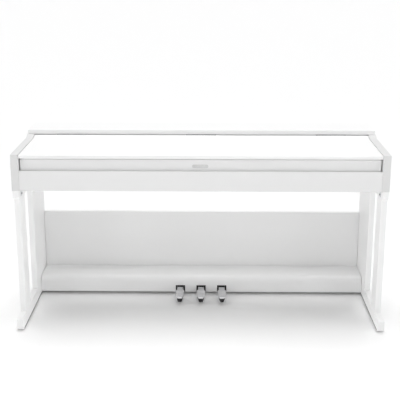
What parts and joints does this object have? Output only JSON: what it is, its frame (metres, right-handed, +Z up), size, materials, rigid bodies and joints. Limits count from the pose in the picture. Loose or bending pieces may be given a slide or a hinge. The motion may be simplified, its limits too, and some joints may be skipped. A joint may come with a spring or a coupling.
{
  "type": "digital piano on stand",
  "caption": "Slim digital piano with a closed flip-up lid, full keyboard under it, side-frame stand, low back panel and a pedal box with chrome pedals.",
  "frame": {"origin": "on the floor, below the middle of the piano's bounding box", "axes": "+X to the player's right (treble), +Y away from the player, +Z up"},
  "size_m": [1.4, 0.492, 0.711],
  "materials": {
    "white_lacquer": "satin white lacquer on board",
    "white_melamine": "smooth melamine facing",
    "white_key": "smooth white plastic",
    "black_key": "fine matt black plastic",
    "panel_plastic": "fine-grained light plastic",
    "button_plastic": "smooth grey plastic",
    "dark_plastic": "moulded dark plastic",
    "plated_steel": "bright zinc plate",
    "black_zinc": "black zinc plate",
    "pedal_chrome": "polished chrome plate",
    "rubber": "moulded rubber",
    "felt_black": "felt glide",
    "speaker_paper": "pressed paper cone",
    "circuit_board": "green solder mask"
  },
  "bodies": {
    "cabinet_and_stand": {"left_arm": "white_lacquer", "right_arm": "white_lacquer", "key_slip": "white_lacquer", "key_bed": "white_melamine", "cabinet_back": "white_lacquer", "rear_top_board": "white_lacquer", "control_panel": "panel_plastic", "cheek_blocks": "white_lacquer", "key_frame": "plated_steel", "key_pivot_rod": "plated_steel", "main_board": "circuit_board", "socket_plate": "dark_plastic", "speaker_frames": "dark_plastic", "speaker_cones": "speaker_paper", "speaker_grilles": "dark_plastic", "cabinet_hinge_leaves": "black_zinc", "hinge_pins": "black_zinc", "left_side_frame": "white_lacquer", "right_side_frame": "white_lacquer", "left_foot": "white_lacquer", "right_foot": "white_lacquer", "back_panel": "white_lacquer", "pedal_box": "white_lacquer", "pedal_base": "white_melamine", "pedal_brackets": "plated_steel", "pedal_axle": "plated_steel", "left_spring": "plated_steel", "middle_spring": "plated_steel", "right_spring": "plated_steel", "foot_glides": "felt_black", "stand_brackets": "plated_steel", "stand_screws": "black_zinc"},
    "lid": {"lid_top": "white_lacquer", "lid_front": "white_lacquer", "music_ledge": "white_lacquer", "lid_bumpers": "rubber", "lid_hinge_leaves": "black_zinc"},
    "white_keys_bass": {"white_keys_bass": "white_key"},
    "black_keys_bass": {"black_keys_bass": "black_key"},
    "white_keys_treble": {"white_keys_treble": "white_key"},
    "black_keys_treble": {"black_keys_treble": "black_key"},
    "key_c": {"key_c": "white_key"},
    "key_c_sharp": {"key_c_sharp": "black_key"},
    "key_d": {"key_d": "white_key"},
    "key_d_sharp": {"key_d_sharp": "black_key"},
    "key_e": {"key_e": "white_key"},
    "key_f": {"key_f": "white_key"},
    "key_f_sharp": {"key_f_sharp": "black_key"},
    "key_g": {"key_g": "white_key"},
    "key_g_sharp": {"key_g_sharp": "black_key"},
    "key_a": {"key_a": "white_key"},
    "key_a_sharp": {"key_a_sharp": "black_key"},
    "key_b": {"key_b": "white_key"},
    "power_button": {"power_button": "button_plastic"},
    "volume_knob": {"volume_knob": "button_plastic"},
    "sound_button": {"sound_button": "button_plastic"},
    "left_pedal": {"left_pedal": "pedal_chrome"},
    "middle_pedal": {"middle_pedal": "pedal_chrome"},
    "right_pedal": {"right_pedal": "pedal_chrome"},
    "support_bolt": {"support_bolt": "dark_plastic"}
  },
  "joints": [
    {"name": "lid_hinge", "type": "hinge", "parent": "cabinet_and_stand", "child": "lid", "pos_m": [0, 0.0995, 0.6905], "axis": [-1, 0, 0], "range_deg": [0, 97]},
    {"name": "white_keys_bass_pivot", "type": "hinge", "parent": "cabinet_and_stand", "child": "white_keys_bass", "pos_m": [0, 0.033, 0.63], "axis": [1, 0, 0], "range_deg": [0, 2.7], "stiffness_Nm_per_rad": 69, "springref_deg": -4.58},
    {"name": "black_keys_bass_pivot", "type": "hinge", "parent": "cabinet_and_stand", "child": "black_keys_bass", "pos_m": [0, 0.033, 0.63], "axis": [1, 0, 0], "range_deg": [0, 2.7], "stiffness_Nm_per_rad": 32, "springref_deg": -4.58},
    {"name": "key_c_pivot", "type": "hinge", "parent": "cabinet_and_stand", "child": "key_c", "pos_m": [0, 0.033, 0.63], "axis": [1, 0, 0], "range_deg": [0, 2.7], "stiffness_Nm_per_rad": 3, "springref_deg": -4.58},
    {"name": "key_c_sharp_pivot", "type": "hinge", "parent": "cabinet_and_stand", "child": "key_c_sharp", "pos_m": [0, 0.033, 0.63], "axis": [1, 0, 0], "range_deg": [0, 2.7], "stiffness_Nm_per_rad": 2, "springref_deg": -4.58},
    {"name": "key_d_pivot", "type": "hinge", "parent": "cabinet_and_stand", "child": "key_d", "pos_m": [0, 0.033, 0.63], "axis": [1, 0, 0], "range_deg": [0, 2.7], "stiffness_Nm_per_rad": 3, "springref_deg": -4.58},
    {"name": "key_d_sharp_pivot", "type": "hinge", "parent": "cabinet_and_stand", "child": "key_d_sharp", "pos_m": [0, 0.033, 0.63], "axis": [1, 0, 0], "range_deg": [0, 2.7], "stiffness_Nm_per_rad": 2, "springref_deg": -4.58},
    {"name": "key_e_pivot", "type": "hinge", "parent": "cabinet_and_stand", "child": "key_e", "pos_m": [0, 0.033, 0.63], "axis": [1, 0, 0], "range_deg": [0, 2.7], "stiffness_Nm_per_rad": 3, "springref_deg": -4.58},
    {"name": "key_f_pivot", "type": "hinge", "parent": "cabinet_and_stand", "child": "key_f", "pos_m": [0, 0.033, 0.63], "axis": [1, 0, 0], "range_deg": [0, 2.7], "stiffness_Nm_per_rad": 3, "springref_deg": -4.58},
    {"name": "key_f_sharp_pivot", "type": "hinge", "parent": "cabinet_and_stand", "child": "key_f_sharp", "pos_m": [0, 0.033, 0.63], "axis": [1, 0, 0], "range_deg": [0, 2.7], "stiffness_Nm_per_rad": 2, "springref_deg": -4.58},
    {"name": "key_g_pivot", "type": "hinge", "parent": "cabinet_and_stand", "child": "key_g", "pos_m": [0, 0.033, 0.63], "axis": [1, 0, 0], "range_deg": [0, 2.7], "stiffness_Nm_per_rad": 3, "springref_deg": -4.58},
    {"name": "key_g_sharp_pivot", "type": "hinge", "parent": "cabinet_and_stand", "child": "key_g_sharp", "pos_m": [0, 0.033, 0.63], "axis": [1, 0, 0], "range_deg": [0, 2.7], "stiffness_Nm_per_rad": 2, "springref_deg": -4.58},
    {"name": "key_a_pivot", "type": "hinge", "parent": "cabinet_and_stand", "child": "key_a", "pos_m": [0, 0.033, 0.63], "axis": [1, 0, 0], "range_deg": [0, 2.7], "stiffness_Nm_per_rad": 3, "springref_deg": -4.58},
    {"name": "key_a_sharp_pivot", "type": "hinge", "parent": "cabinet_and_stand", "child": "key_a_sharp", "pos_m": [0, 0.033, 0.63], "axis": [1, 0, 0], "range_deg": [0, 2.7], "stiffness_Nm_per_rad": 2, "springref_deg": -4.58},
    {"name": "key_b_pivot", "type": "hinge", "parent": "cabinet_and_stand", "child": "key_b", "pos_m": [0, 0.033, 0.63], "axis": [1, 0, 0], "range_deg": [0, 2.7], "stiffness_Nm_per_rad": 3, "springref_deg": -4.58},
    {"name": "white_keys_treble_pivot", "type": "hinge", "parent": "cabinet_and_stand", "child": "white_keys_treble", "pos_m": [0, 0.033, 0.63], "axis": [1, 0, 0], "range_deg": [0, 2.7], "stiffness_Nm_per_rad": 66, "springref_deg": -4.58},
    {"name": "black_keys_treble_pivot", "type": "hinge", "parent": "cabinet_and_stand", "child": "black_keys_treble", "pos_m": [0, 0.033, 0.63], "axis": [1, 0, 0], "range_deg": [0, 2.7], "stiffness_Nm_per_rad": 30, "springref_deg": -4.58},
    {"name": "power_button_press", "type": "slide", "parent": "cabinet_and_stand", "child": "power_button", "axis": [0, 0, -1], "range_m": [0, 0.002], "stiffness_N_per_m": 400, "springref_m": -0.002},
    {"name": "sound_button_press", "type": "slide", "parent": "cabinet_and_stand", "child": "sound_button", "axis": [0, 0, -1], "range_m": [0, 0.002], "stiffness_N_per_m": 400, "springref_m": -0.002},
    {"name": "volume_knob_turn", "type": "hinge", "parent": "cabinet_and_stand", "child": "volume_knob", "pos_m": [-0.6, 0.039, 0.663], "axis": [0, 0, -1], "range_deg": [-140, 140]},
    {"name": "left_pedal_pivot", "type": "hinge", "parent": "cabinet_and_stand", "child": "left_pedal", "pos_m": [-0.084, 0.16, 0.03], "axis": [1, 0, 0], "range_deg": [0, 3], "stiffness_Nm_per_rad": 30, "springref_deg": -2.29, "deforming": ["left_spring"]},
    {"name": "middle_pedal_pivot", "type": "hinge", "parent": "cabinet_and_stand", "child": "middle_pedal", "pos_m": [0, 0.16, 0.03], "axis": [1, 0, 0], "range_deg": [0, 3], "stiffness_Nm_per_rad": 30, "springref_deg": -2.29, "deforming": ["middle_spring"]},
    {"name": "right_pedal_pivot", "type": "hinge", "parent": "cabinet_and_stand", "child": "right_pedal", "pos_m": [0.084, 0.16, 0.03], "axis": [1, 0, 0], "range_deg": [0, 3], "stiffness_Nm_per_rad": 30, "springref_deg": -2.29, "deforming": ["right_spring"]},
    {"name": "support_bolt_height", "type": "slide", "parent": "cabinet_and_stand", "child": "support_bolt", "axis": [0, 0, 1], "range_m": [0, 0.003]}
  ]
}
